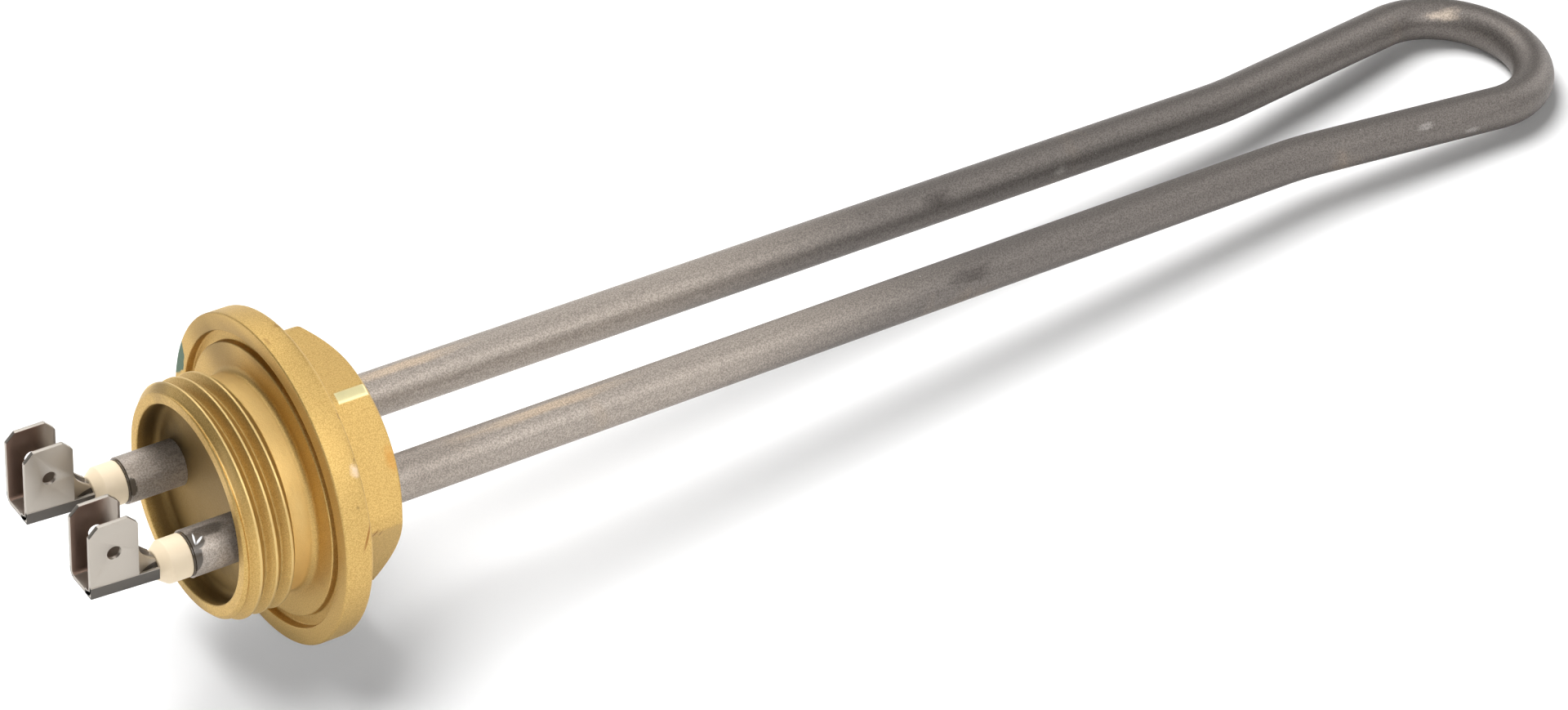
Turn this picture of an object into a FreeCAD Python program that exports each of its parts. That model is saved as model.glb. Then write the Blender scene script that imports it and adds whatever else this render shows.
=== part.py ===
import FreeCAD, Part
import math
import os

# Screw-in tubular heating element. Millimetres. +X runs along the plug's axis toward the
# loop, the hairpin lies in the XY plane, and X = 0 is the flange's sealing face. "Dry" is
# the terminal side of that face (-X), "wet" the heated side (+X).

# sheath: one drawn tube bent into a hairpin with a teardrop nose
sheath_diameter = 8.5
sheath_wall = 0.7
leg_spacing = 23.0
immersed_length = 295.0
dry_length = 20.5
nose_radius = 17.4
flare_angle = 7.0
flare_bend_radius = 80.0

# brass plug: threaded cup, grooved flange and hexagon turned from one bar
thread_diameter = 43.0
thread_pitch = 3.0
thread_depth = 1.5
thread_flank = 30.0
crest_flat = 0.38
spigot_length = 14.0
spigot_wall = 3.5
cup_depth = 4.2
thread_relief = 5.0
relief_run = 0.6
neck_undercut = 1.9
neck_chamfer = 1.2
land_setback = 0.2
groove_width = 2.1
groove_depth = 1.6
sealing_ring_width = 2.85
flange_diameter = 60.1
flange_rim = 5.2
flange_cone = 3.2
hex_across_flats = 41.0
hex_corner_diameter = 46.2
hex_chamfer_inset = 0.4
hex_turn = -4.0
plug_wet_length = 16.6
flange_chamfer = 0.35
cup_chamfer = 1.0

# electrical inner parts
pin_diameter = 2.5
pin_protrusion = 11.0
cold_length = 32.0
coil_diameter = 3.8
coil_overlap = 8.0
seal_depth = 4.0
seal_flange = 0.35
seal_diameter = 8.0

# ceramic bush
bush_diameter = 7.8
bush_length = 5.7
bush_cone = 1.8
bush_tip_diameter = 5.2
bush_bore_clearance = 0.1

# folded double tab
tab_sheet = 0.8
tab_length = 9.0
tab_height = 14.2
tab_outer_width = 7.4
tab_fold = 1.6
tab_chamfer = 1.7
tab_corner = 0.4
tab_hole_diameter = 2.6
tab_hole_drop = 6.2
neck_length = 4.2
neck_height = 7.0
neck_tip_width = 3.2
neck_tip_height = 1.6
neck_sag = 0.38
bush_gap = 0.3
weld_flat = 0.35

# brazed joint where each leg leaves the wet face
braze_leg = 1.2

sheath_radius = sheath_diameter / 2
sheath_bore = sheath_radius - sheath_wall
leg_y = leg_spacing / 2
thread_radius = thread_diameter / 2
root_radius = thread_radius - thread_depth
neck_radius = thread_radius - neck_undercut
pin_radius = pin_diameter / 2
nose_x = immersed_length - sheath_radius - nose_radius
bush_base_x = -dry_length - seal_flange
bush_tip_x = bush_base_x - bush_length
neck_end_x = bush_tip_x - bush_gap
tab_right_x = neck_end_x - neck_length
tab_left_x = tab_right_x - tab_length
web_z = pin_radius - weld_flat

X_AXIS = FreeCAD.Vector(1, 0, 0)
Y_AXIS = FreeCAD.Vector(0, 1, 0)
Z_AXIS = FreeCAD.Vector(0, 0, 1)
ORIGIN = FreeCAD.Vector(0, 0, 0)


def vec(x, y, z=0.0):
    return FreeCAD.Vector(x, y, z)


def rounded_wire(corners):
    """Closed wire in the XY plane through (x, y) or (x, y, rounding) corners."""
    count = len(corners)
    starts, ends, arcs = [], [], []
    for i, (x, y, *rest) in enumerate(corners):
        here = vec(x, y)
        rounding = sum(rest)
        if rounding <= 0:
            starts.append(here)
            ends.append(here)
            arcs.append(None)
            continue
        before = vec(*corners[i - 1][:2]) - here
        after = vec(*corners[(i + 1) % count][:2]) - here
        before.normalize()
        after.normalize()
        half = before.getAngle(after) / 2
        reach = rounding / math.tan(half)
        bisector = before + after
        bisector.normalize()
        middle = here + bisector * (rounding / math.sin(half) - rounding)
        starts.append(here + before * reach)
        ends.append(here + after * reach)
        arcs.append(Part.Arc(starts[-1], middle, ends[-1]).toShape())
    edges = []
    for i in range(count):
        if arcs[i]:
            edges.append(arcs[i])
        tail, head = ends[i], starts[(i + 1) % count]
        if tail.distanceToPoint(head) > 1e-6:
            edges.append(Part.makeLine(tail, head))
    return Part.Wire(Part.__sortEdges__(edges))


def turned(corners, offset_y=0.0):
    """Solid of revolution about the X-parallel axis at y = offset_y."""
    solid = Part.Face(rounded_wire(corners)).revolve(ORIGIN, X_AXIS, 360)
    solid.translate(vec(0, offset_y))
    return solid


def leg_rod(radius, x_from, x_to, y):
    return Part.makeCylinder(radius, x_to - x_from, vec(x_from, y), X_AXIS)


def hairpin_path(x_start):
    """The hairpin's centre line, from the near leg at x_start round the nose to the far leg."""
    angle = math.radians(flare_angle)
    nose_start = vec(nose_x - nose_radius * math.sin(angle), -nose_radius * math.cos(angle))
    flare_y = -leg_y - flare_bend_radius * (1 - math.cos(angle))
    flare_start = vec(nose_start.x + (nose_start.y - flare_y) / math.tan(angle), flare_y)
    bend_start = vec(flare_start.x - flare_bend_radius * math.sin(angle), -leg_y)
    bend_middle = vec(
        bend_start.x + flare_bend_radius * math.sin(angle / 2),
        -leg_y - flare_bend_radius * (1 - math.cos(angle / 2)))

    half = [
        Part.makeLine(vec(x_start, -leg_y), bend_start),
        Part.Arc(bend_start, bend_middle, flare_start).toShape(),
        Part.makeLine(flare_start, nose_start),
    ]
    nose_end = vec(nose_start.x, -nose_start.y)
    nose = Part.Arc(nose_start, vec(nose_x + nose_radius, 0), nose_end).toShape()
    other_half = [edge.mirror(ORIGIN, Y_AXIS) for edge in half]
    return Part.Wire(Part.__sortEdges__(half + [nose] + other_half))


def hairpin_rod(radius, x_start):
    """Round rod along the hairpin."""
    section = Part.Wire(Part.makeCircle(radius, vec(x_start, -leg_y), X_AXIS))
    return hairpin_path(x_start).makePipeShell([section], True, True)


def hairpin_bar(radius, sides, x_start):
    """Bar of a regular polygon's section along the hairpin, its corners at the radius."""
    corners = []
    for i in range(sides + 1):
        turn = 2 * math.pi * (i + 0.5) / sides
        corners.append(vec(x_start, radius * math.cos(turn) - leg_y, radius * math.sin(turn)))
    return hairpin_path(x_start).makePipeShell([Part.makePolygon(corners)], True, True)


def thread_groove():
    """Helical V groove, cut from free space before the spigot into the relief behind it."""
    run_in = thread_pitch * 0.4
    run_out = thread_relief - 2.0
    length = spigot_length + run_in - run_out
    above = 0.5
    half_top = (thread_pitch - crest_flat) / 2 + above * math.tan(math.radians(thread_flank))
    half_root = half_top - (thread_depth + above) * math.tan(math.radians(thread_flank))
    helix = Part.makeHelix(thread_pitch, length, root_radius)
    section = Part.makePolygon([
        vec(root_radius, 0, -half_root),
        vec(thread_radius + above, 0, -half_top),
        vec(thread_radius + above, 0, half_top),
        vec(root_radius, 0, half_root),
        vec(root_radius, 0, -half_root),
    ])
    groove = Part.Wire(helix.Edges).makePipeShell([section], True, True)
    groove.rotate(ORIGIN, Y_AXIS, 90)
    groove.translate(vec(-spigot_length - run_in, 0))
    return groove


def plug_body():
    cup_radius = thread_radius - spigot_wall
    flange_radius = flange_diameter / 2
    groove_outer = flange_radius - flange_chamfer - sealing_ring_width
    groove_inner = groove_outer - groove_width
    buried = 1.0
    cone_radius = hex_across_flats / 2 - buried
    cup_floor_x = cup_depth - spigot_length
    start_chamfer = thread_depth + 0.05
    body = turned([
        (-spigot_length, cup_radius),
        (-spigot_length, thread_radius - start_chamfer),
        (start_chamfer - spigot_length, thread_radius),
        (-thread_relief, thread_radius),
        (relief_run - thread_relief, neck_radius),
        (land_setback - neck_chamfer, neck_radius),
        (land_setback, neck_radius + neck_chamfer),
        (land_setback, groove_inner),
        (groove_depth, groove_inner),
        (groove_depth, groove_outer),
        (0, groove_outer),
        (0, flange_radius - flange_chamfer),
        (flange_chamfer, flange_radius),
        (flange_rim, flange_radius),
        (flange_rim + flange_cone, cone_radius),
        (flange_rim + flange_cone, 0),
        (cup_floor_x, 0),
        (cup_floor_x, cup_radius - cup_chamfer),
        (cup_floor_x - cup_chamfer, cup_radius),
    ])

    corner_radius = hex_corner_diameter / 2
    flat = hex_across_flats / 2
    chamfer_radius = flat - hex_chamfer_inset
    chamfer_run = (corner_radius - chamfer_radius) * math.tan(math.radians(30))
    bar_envelope = turned([
        (groove_depth + buried, 0),
        (groove_depth + buried, corner_radius),
        (plug_wet_length - chamfer_run, corner_radius),
        (plug_wet_length, chamfer_radius),
        (plug_wet_length, 0),
    ])
    hex_points = []
    for i in range(7):
        turn = math.radians(60 * i + hex_turn)
        reach = flat / math.cos(math.radians(30))
        hex_points.append(vec(0, reach * math.cos(turn), reach * math.sin(turn)))
    hexagon = Part.Face(Part.makePolygon(hex_points)).extrude(vec(plug_wet_length, 0))
    body = body.fuse(hexagon.common(bar_envelope)).removeSplitter()

    body = body.cut(thread_groove())
    for side in (leg_y, -leg_y):
        body = body.cut(leg_rod(sheath_radius, cup_floor_x - 1, plug_wet_length + 1, side))
    return body


def braze_ring(side):
    """Fillet of braze round a leg on the plug's wet face."""
    return turned([
        (plug_wet_length, sheath_radius),
        (plug_wet_length, sheath_radius + braze_leg),
        (plug_wet_length + braze_leg, sheath_radius),
    ], side)


def cold_pin(side):
    """Terminal pin, flattened on top where the tab is welded to it."""
    pin = leg_rod(pin_radius, -dry_length - pin_protrusion, cold_length, side)
    flat_end = bush_tip_x - bush_gap / 2
    waste = Part.makeBox(40, pin_diameter + 2, pin_diameter, vec(flat_end - 40, side - pin_radius - 1, web_z))
    return pin.cut(waste)


def end_seal(side):
    """Resin plug in the sheath's mouth, squeezed out into a thin flange under the bush."""
    return turned([
        (-dry_length - seal_flange, pin_radius),
        (-dry_length - seal_flange, seal_diameter / 2),
        (-dry_length, seal_diameter / 2),
        (-dry_length, sheath_bore),
        (seal_depth - dry_length, sheath_bore),
        (seal_depth - dry_length, pin_radius),
    ], side)


def ceramic_bush(side):
    """Plain collar with a coned tip."""
    bore = pin_radius + bush_bore_clearance
    return turned([
        (bush_base_x, bore),
        (bush_base_x, bush_diameter / 2),
        (bush_tip_x + bush_cone, bush_diameter / 2),
        (bush_tip_x, bush_tip_diameter / 2),
        (bush_tip_x, bore),
    ], side)


def folded_bar(x_from, x_to, half_width, floor_z, top_z, fold):
    """Upright bar along X, rounded where the sheet is folded up from the web."""
    outline = rounded_wire([
        (floor_z, -half_width, fold),
        (floor_z, half_width, fold),
        (top_z, half_width),
        (top_z, -half_width),
    ])
    outline.rotate(ORIGIN, Y_AXIS, -90)
    outline.translate(vec(x_from, 0))
    return Part.Face(outline).extrude(vec(x_to - x_from, 0))


def waist_circle(start, end):
    """Circle that hollows the neck; start and end are half widths, or heights above the web."""
    sag_x = tab_right_x + 0.45 * neck_length
    sag = neck_sag * start + (1 - neck_sag) * end
    arc = Part.Arc(vec(tab_right_x, start), vec(sag_x, sag), vec(neck_end_x, end))
    return arc.toShape().Curve


def tab_terminal(side):
    """Double push-on tab folded from one strip, necked down to the weld on the pin."""
    half = tab_outer_width / 2
    top = web_z + tab_height
    outline = rounded_wire([
        (tab_left_x, web_z - 1),
        (tab_left_x, top - tab_chamfer, tab_corner),
        (tab_left_x + tab_chamfer, top, tab_corner),
        (tab_right_x - tab_chamfer, top, tab_corner),
        (tab_right_x, top - tab_chamfer, tab_corner),
        (tab_right_x, web_z - 1),
    ])
    outline.rotate(ORIGIN, X_AXIS, 90)
    outline.translate(vec(0, tab_outer_width))
    tabs = folded_bar(tab_left_x, tab_right_x, half, web_z, top, tab_fold)
    tabs = tabs.common(Part.Face(outline).extrude(vec(0, -2 * tab_outer_width)))

    neck = folded_bar(tab_right_x, neck_end_x, half, web_z, web_z + neck_height, tab_fold)
    channel = folded_bar(
        tab_left_x - 1, neck_end_x + 1, half - tab_sheet, web_z + tab_sheet, top + 1, tab_fold - tab_sheet)
    plan = waist_circle(half, neck_tip_width / 2)
    for y in (plan.Center.y, -plan.Center.y):
        foot = vec(plan.Center.x, y, web_z - 1)
        neck = neck.cut(Part.makeCylinder(plan.Radius, tab_height, foot, Z_AXIS))
        channel = channel.cut(Part.makeCylinder(plan.Radius + tab_sheet, 2 * tab_height, foot, Z_AXIS))
    profile = waist_circle(neck_height, neck_tip_height)
    scoop_at = vec(profile.Center.x, -tab_outer_width, web_z + profile.Center.y)
    neck = neck.cut(Part.makeCylinder(profile.Radius, 2 * tab_outer_width, scoop_at, Y_AXIS))

    hole_at = vec(tab_left_x + tab_length / 2, -tab_outer_width, top - tab_hole_drop)
    hole = Part.makeCylinder(tab_hole_diameter / 2, 2 * tab_outer_width, hole_at, Y_AXIS)
    terminal = tabs.fuse(neck).removeSplitter().cut(channel).cut(hole)
    terminal.translate(vec(0, side))
    return terminal


def resistance_coil():
    """Close-wound helix, drawn as the eight-sided bar that it fills, socketed for the pins."""
    start = cold_length - coil_overlap
    coil = hairpin_bar(coil_diameter / 2, 8, start)
    for side in (leg_y, -leg_y):
        coil = coil.cut(leg_rod(pin_radius, start - 1, cold_length, side))
    return coil


def magnesia_core():
    """Compacted powder between sheath, coil and pins, twelve-sided with its edges on the bore."""
    start = seal_depth - dry_length
    powder = hairpin_bar(sheath_bore, 12, start)
    powder = powder.cut(hairpin_bar(coil_diameter / 2, 8, cold_length - coil_overlap))
    for side in (leg_y, -leg_y):
        powder = powder.cut(leg_rod(pin_radius, start - 1, cold_length - coil_overlap, side))
    return powder


nodes = {
    "plug_body": plug_body(),
    "sheath_tube": hairpin_rod(sheath_radius, -dry_length).cut(
        hairpin_rod(sheath_bore, -dry_length - 1)),
    "magnesia_core": magnesia_core(),
    "resistance_coil": resistance_coil(),
}
for name, side in (("far", leg_y), ("near", -leg_y)):
    nodes["braze_ring_" + name] = braze_ring(side)
    nodes["cold_pin_" + name] = cold_pin(side)
    nodes["end_seal_" + name] = end_seal(side)
    nodes["ceramic_bush_" + name] = ceramic_bush(side)
    nodes["tab_terminal_" + name] = tab_terminal(side)

os.makedirs("parts", exist_ok=True)
for name, shape in nodes.items():
    shape.exportStep("parts/" + name + ".step")
    print(name, shape.isValid(), len(shape.Solids), round(shape.Volume, 1), shape.BoundBox)
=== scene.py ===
import bmesh
import bpy
import math
from contextlib import contextmanager
from mathutils import Matrix, Vector


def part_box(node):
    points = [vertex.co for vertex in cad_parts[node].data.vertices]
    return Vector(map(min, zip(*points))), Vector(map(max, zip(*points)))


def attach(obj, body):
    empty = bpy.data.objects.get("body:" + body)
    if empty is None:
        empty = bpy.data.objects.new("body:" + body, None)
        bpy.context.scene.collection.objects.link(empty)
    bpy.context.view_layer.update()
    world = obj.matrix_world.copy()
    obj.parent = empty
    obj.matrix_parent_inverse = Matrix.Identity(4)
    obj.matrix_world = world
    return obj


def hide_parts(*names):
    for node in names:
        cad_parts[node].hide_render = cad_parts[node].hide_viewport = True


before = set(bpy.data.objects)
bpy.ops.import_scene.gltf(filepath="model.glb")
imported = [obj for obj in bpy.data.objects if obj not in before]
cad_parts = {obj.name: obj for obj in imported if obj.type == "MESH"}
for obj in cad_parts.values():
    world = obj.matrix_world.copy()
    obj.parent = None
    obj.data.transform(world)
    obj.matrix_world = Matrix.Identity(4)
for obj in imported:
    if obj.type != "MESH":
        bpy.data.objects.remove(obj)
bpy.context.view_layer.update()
print("frame loaded with", len(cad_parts), "nodes")

mm = 0.001
sides = {"far": 1, "near": -1}  # each leg's side of the plug's axis


def boxInMm(node):
    return [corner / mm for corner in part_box(node)]


tubeLow, tubeHigh = boxInMm("sheath_tube")
plugLow, plugHigh = boxInMm("plug_body")
bushLow, bushHigh = boxInMm("ceramic_bush_far")
sealLow, sealHigh = boxInMm("end_seal_far")
tubeRadius = tubeHigh.z
legY = (bushLow.y + bushHigh.y) / 2  # from the plug's axis to a leg's


# how a piece is made, baked and handed over

def linkObject(name, data):
    linked = bpy.data.objects.new(name, data)
    bpy.context.scene.collection.objects.link(linked)
    return linked


def linkPiece(name, mesh, material=None):
    if material:
        mesh.materials.clear()
        mesh.materials.append(material)
    return linkObject(name, mesh)


def bakeModifiers(piece):
    graph = bpy.context.evaluated_depsgraph_get()
    plain = bpy.data.meshes.new_from_object(piece.evaluated_get(graph))
    plain.name = piece.name
    piece.modifiers.clear()
    piece.data = plain


def finishPiece(piece, slotName, *nodes):
    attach(piece, "root")
    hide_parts(*nodes)
    print("piece", piece.name, len(piece.data.polygons), "faces")


# opens a mesh for changes and writes them back
@contextmanager
def edited(mesh):
    work = bmesh.new()
    work.from_mesh(mesh)
    yield work
    work.to_mesh(mesh)
    work.free()


def smoothByAngle(mesh, degrees):
    with edited(mesh) as work:
        for face in work.faces:
            face.smooth = True
        for edge in work.edges:
            edge.smooth = edge.is_manifold and edge.calc_face_angle(0) < math.radians(degrees)


# corners are (x, r), then a rounding, then how many steps the run to the next corner gets
def roundedProfile(corners, arcSteps):
    arcs = []
    for i, (x, r, *more) in enumerate(corners):
        here = Vector((x, r))
        rounding = more[0] if more else 0
        if rounding == 0:
            arcs.append([here])
            continue
        back = (Vector(corners[i - 1][:2]) - here).normalized()
        ahead = (Vector(corners[(i + 1) % len(corners)][:2]) - here).normalized()
        half = back.angle(ahead) / 2
        centre = here + (back + ahead).normalized() * rounding / math.sin(half)
        first = here + back * rounding / math.tan(half) - centre
        last = here + ahead * rounding / math.tan(half) - centre
        start = math.atan2(first.y, first.x)
        turn = (math.atan2(last.y, last.x) - start + math.pi) % (2 * math.pi) - math.pi
        angles = [start + turn * k / arcSteps for k in range(arcSteps + 1)]
        arcs.append([centre + rounding * Vector((math.cos(a), math.sin(a))) for a in angles])
    points = []
    for i, arc in enumerate(arcs):
        points += arc
        if len(corners[i]) > 3 and i + 1 < len(arcs):
            steps = corners[i][3]
            points += [arc[-1].lerp(arcs[i + 1][0], k / steps) for k in range(1, steps)]
    return points


onAxis = 1e-6  # mm, the points of a profile nearer than this to the axis are one point


# profileAt gives the (x, r) points for an angle round the axis, as many for each angle
def turnedMesh(name, profileAt, segments, axisY=0.0, ring=False):
    angles = [2 * math.pi * k / segments for k in range(segments)]
    profiles = [profileAt(angle) for angle in angles]
    count = len(profiles[0])
    points, index = [], {}
    for j in range(count):
        for k, angle in enumerate(angles):
            x, r = profiles[k][j]
            if r < onAxis and k:
                index[j, k] = index[j, 0]
                continue
            index[j, k] = len(points)
            points.append((x * mm, (axisY + r * math.cos(angle)) * mm, r * math.sin(angle) * mm))
    faces = []
    for j in range(count if ring else count - 1):
        below = (j + 1) % count
        for k in range(segments):
            after = (k + 1) % segments
            corners = [index[j, k], index[j, after], index[below, after], index[below, k]]
            corners = list(dict.fromkeys(corners))
            if len(corners) > 2:
                faces.append(corners)
    mesh = bpy.data.meshes.new(name)
    mesh.from_pydata(points, [], faces)
    with edited(mesh) as work:
        bmesh.ops.recalc_face_normals(work, faces=work.faces)
    return mesh


# mergeWithin in mm, flatWithin in degrees
def solidCopy(node, name, mergeWithin=0.002, flatWithin=0.5):
    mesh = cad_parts[node].data.copy()
    mesh.name = name
    with edited(mesh) as work:
        bmesh.ops.remove_doubles(work, verts=work.verts, dist=mergeWithin * mm)
        bmesh.ops.dissolve_limit(
            work, angle_limit=math.radians(flatWithin), verts=work.verts, edges=work.edges)
    return mesh


# node trees: inputs may be values, or sockets to link from

def feed(tree, node, inputs):
    for key, value in inputs.items():
        if isinstance(value, bpy.types.NodeSocket):
            tree.links.new(value, node.inputs[key])
        else:
            node.inputs[key].default_value = value


def put(tree, kind, inputs=None, **settings):
    node = tree.nodes.new(kind)
    for key, value in settings.items():
        setattr(node, key, value)
    feed(tree, node, inputs or {})
    return node


def calc(tree, operation, *values, clamp=False):
    inputs = {i: value for i, value in enumerate(values)}
    return put(tree, "ShaderNodeMath", inputs, operation=operation, use_clamp=clamp).outputs[0]


# inputs 6 and 7 are the Mix node's two colours
def blend(tree, factor, first, second):
    return put(tree, "ShaderNodeMix", {0: factor, 6: first, 7: second}, data_type="RGBA").outputs[2]


def spread(tree, value, low, high, toLow=0.0, toHigh=1.0):
    inputs = {"Value": value, "From Min": low, "From Max": high, "To Min": toLow, "To Max": toHigh}
    return put(tree, "ShaderNodeMapRange", inputs, interpolation_type="SMOOTHSTEP").outputs[0]


def splitAxes(tree, vector):
    return put(tree, "ShaderNodeSeparateXYZ", {0: vector}).outputs


def axisDistance(tree, y, z):
    squares = calc(tree, "ADD", calc(tree, "MULTIPLY", y, y), calc(tree, "MULTIPLY", z, z))
    return calc(tree, "SQRT", squares)


def objectPlace(tree):
    return put(tree, "ShaderNodeTexCoord").outputs["Object"]


def storedValue(tree, name, kind="Fac"):
    return put(tree, "ShaderNodeAttribute", attribute_name=name).outputs[kind]


def metres(lengths):
    return [length * mm for length in lengths]


def newGroup(name, kind, sockets):
    tree = bpy.data.node_groups.new(name, kind)
    for socketName, way, socketKind, value in sockets:
        socket = tree.interface.new_socket(name=socketName, in_out=way, socket_type=socketKind)
        if value is not None:
            socket.default_value = value
    return tree, put(tree, "NodeGroupInput"), put(tree, "NodeGroupOutput")


def addTree(piece, tree, values):
    modifier = piece.modifiers.new(tree.name, "NODES")
    modifier.node_group = tree
    for item in tree.interface.items_tree:
        if item.item_type == "SOCKET" and item.in_out == "INPUT" and item.name in values:
            modifier[item.identifier] = values[item.name]


# surface effects that several finishes share

grainPattern = {
    "detail": 3.0, "roughness": 0.65, "low": 0.36, "high": 0.64,
    "coarseScale": 0.22, "coarseDetail": 2.0, "coarseWeight": 0.7,
}


def blastGrainGroup():
    tree, given, out = newGroup("blastGrain", "ShaderNodeTree", (
        ("Size", "INPUT", "NodeSocketFloat", 0.3 * mm),
        ("Speckle", "OUTPUT", "NodeSocketFloat", None),
        ("Height", "OUTPUT", "NodeSocketFloat", None),
    ))
    place = objectPlace(tree)
    fine = put(tree, "ShaderNodeTexNoise", {
        "Vector": place, "Scale": calc(tree, "DIVIDE", 1.0, given.outputs["Size"]),
        "Detail": grainPattern["detail"], "Roughness": grainPattern["roughness"]}).outputs[0]
    coarse = put(tree, "ShaderNodeTexNoise", {
        "Vector": place, "Detail": grainPattern["coarseDetail"],
        "Scale": calc(tree, "DIVIDE", grainPattern["coarseScale"], given.outputs["Size"])}).outputs[0]
    feed(tree, out, {
        "Speckle": spread(tree, fine, grainPattern["low"], grainPattern["high"]),
        "Height": calc(tree, "MULTIPLY_ADD", coarse, grainPattern["coarseWeight"], fine)})
    return tree


smudgePattern = {"Detail": 5.0, "Roughness": 0.6, "Distortion": 0.3}


def smudgeGroup():
    tree, given, out = newGroup("smudges", "ShaderNodeTree", (
        ("Size", "INPUT", "NodeSocketFloat", 10 * mm),
        ("Amount", "INPUT", "NodeSocketFloat", 0.4),
        ("Softness", "INPUT", "NodeSocketFloat", 0.15),
        ("Mask", "OUTPUT", "NodeSocketFloat", None),
    ))
    cloud = put(tree, "ShaderNodeTexNoise", {
        "Vector": objectPlace(tree), "Scale": calc(tree, "DIVIDE", 1.0, given.outputs["Size"]),
        **smudgePattern}).outputs[0]
    start = calc(tree, "SUBTRACT", 1.0, given.outputs["Amount"])
    end = calc(tree, "ADD", start, given.outputs["Softness"])
    feed(tree, out, {"Mask": spread(tree, cloud, start, end)})
    return tree


spotPattern = {"Scale": 2.2, "Detail": 3.0}


# one soft-edged mark, round or stretched, at a place on the surface
def spotGroup():
    tree, given, out = newGroup("spot", "ShaderNodeTree", (
        ("Place", "INPUT", "NodeSocketVector", None),
        ("Turn", "INPUT", "NodeSocketVector", None),
        ("Reach", "INPUT", "NodeSocketVector", None),
        ("Softness", "INPUT", "NodeSocketFloat", 0.3),
        ("Raggedness", "INPUT", "NodeSocketFloat", 0.3),
        ("Mask", "OUTPUT", "NodeSocketFloat", None),
    ))
    get = given.outputs
    mapped = put(tree, "ShaderNodeMapping", {
        "Vector": objectPlace(tree), "Location": get["Place"], "Rotation": get["Turn"],
        "Scale": get["Reach"]}, vector_type="TEXTURE").outputs[0]
    away = put(tree, "ShaderNodeVectorMath", {0: mapped}, operation="LENGTH").outputs["Value"]
    ragged = put(tree, "ShaderNodeTexNoise", {"Vector": mapped, **spotPattern}).outputs[0]
    ragged = calc(tree, "MULTIPLY", calc(tree, "SUBTRACT", ragged, 0.5), get["Raggedness"])
    away = calc(tree, "ADD", away, calc(tree, "MULTIPLY", ragged, 2.0))
    inner = calc(tree, "SUBTRACT", 1.0, get["Softness"])
    feed(tree, out, {"Mask": spread(tree, away, inner, 1.0, 1.0, 0.0)})
    return tree


blastGrain = blastGrainGroup()
smudges = smudgeGroup()
spot = spotGroup()


def newFinish(name):
    material = bpy.data.materials.new(name)
    material.use_nodes = True
    tree = material.node_tree
    return material, tree, tree.nodes["Principled BSDF"]


def useGroup(tree, group, **values):
    return put(tree, "ShaderNodeGroup", values, node_tree=group).outputs


# gives the shader the grain's bump and returns the grain's speckle
def grained(tree, shader, grain):
    pattern = useGroup(tree, blastGrain, Size=grain["size"] * mm)
    bump = put(tree, "ShaderNodeBump", {
        "Height": pattern["Height"], "Strength": grain["bump"], "Distance": grain["height"] * mm})
    feed(tree, shader, {"Normal": bump.outputs[0]})
    return pattern["Speckle"]


# clouds of a second colour over the first, their size in mm
def clouded(tree, colour, cloud):
    mask = useGroup(tree, smudges, Size=cloud["size"] * mm, Amount=cloud["amount"],
                    Softness=cloud["softness"])["Mask"]
    return blend(tree, calc(tree, "MULTIPLY", mask, cloud["strength"]), colour, cloud["colour"])


# place and reach in mm, turn in degrees
def spotMask(tree, place, reach, turn, softness, raggedness):
    return useGroup(tree, spot, Place=metres(place), Reach=metres(reach),
                    Turn=[math.radians(v) for v in turn],
                    Softness=softness, Raggedness=raggedness)["Mask"]


# each mark is a spot's place, reach, turn, softness and raggedness, then its amount and colour
def marked(tree, colour, marksAndPaintedLight):
    for *shape, amount, markColour in marksAndPaintedLight:
        mask = calc(tree, "MULTIPLY", spotMask(tree, *shape), amount)
        colour = blend(tree, mask, colour, markColour)
    return colour


# one inside a box that lies along the axes, with a crisp edge
def boxMask(tree, place, half, edge):
    mask = None
    for axis, away in enumerate(splitAxes(tree, objectPlace(tree))):
        off = calc(tree, "ABSOLUTE", calc(tree, "SUBTRACT", away, place[axis] * mm))
        inside = spread(tree, off, (half[axis] - edge) * mm, half[axis] * mm, 1.0, 0.0)
        mask = inside if mask is None else calc(tree, "MULTIPLY", mask, inside)
    return mask


# finishes: lengths in mm, places in the part's frame

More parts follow.
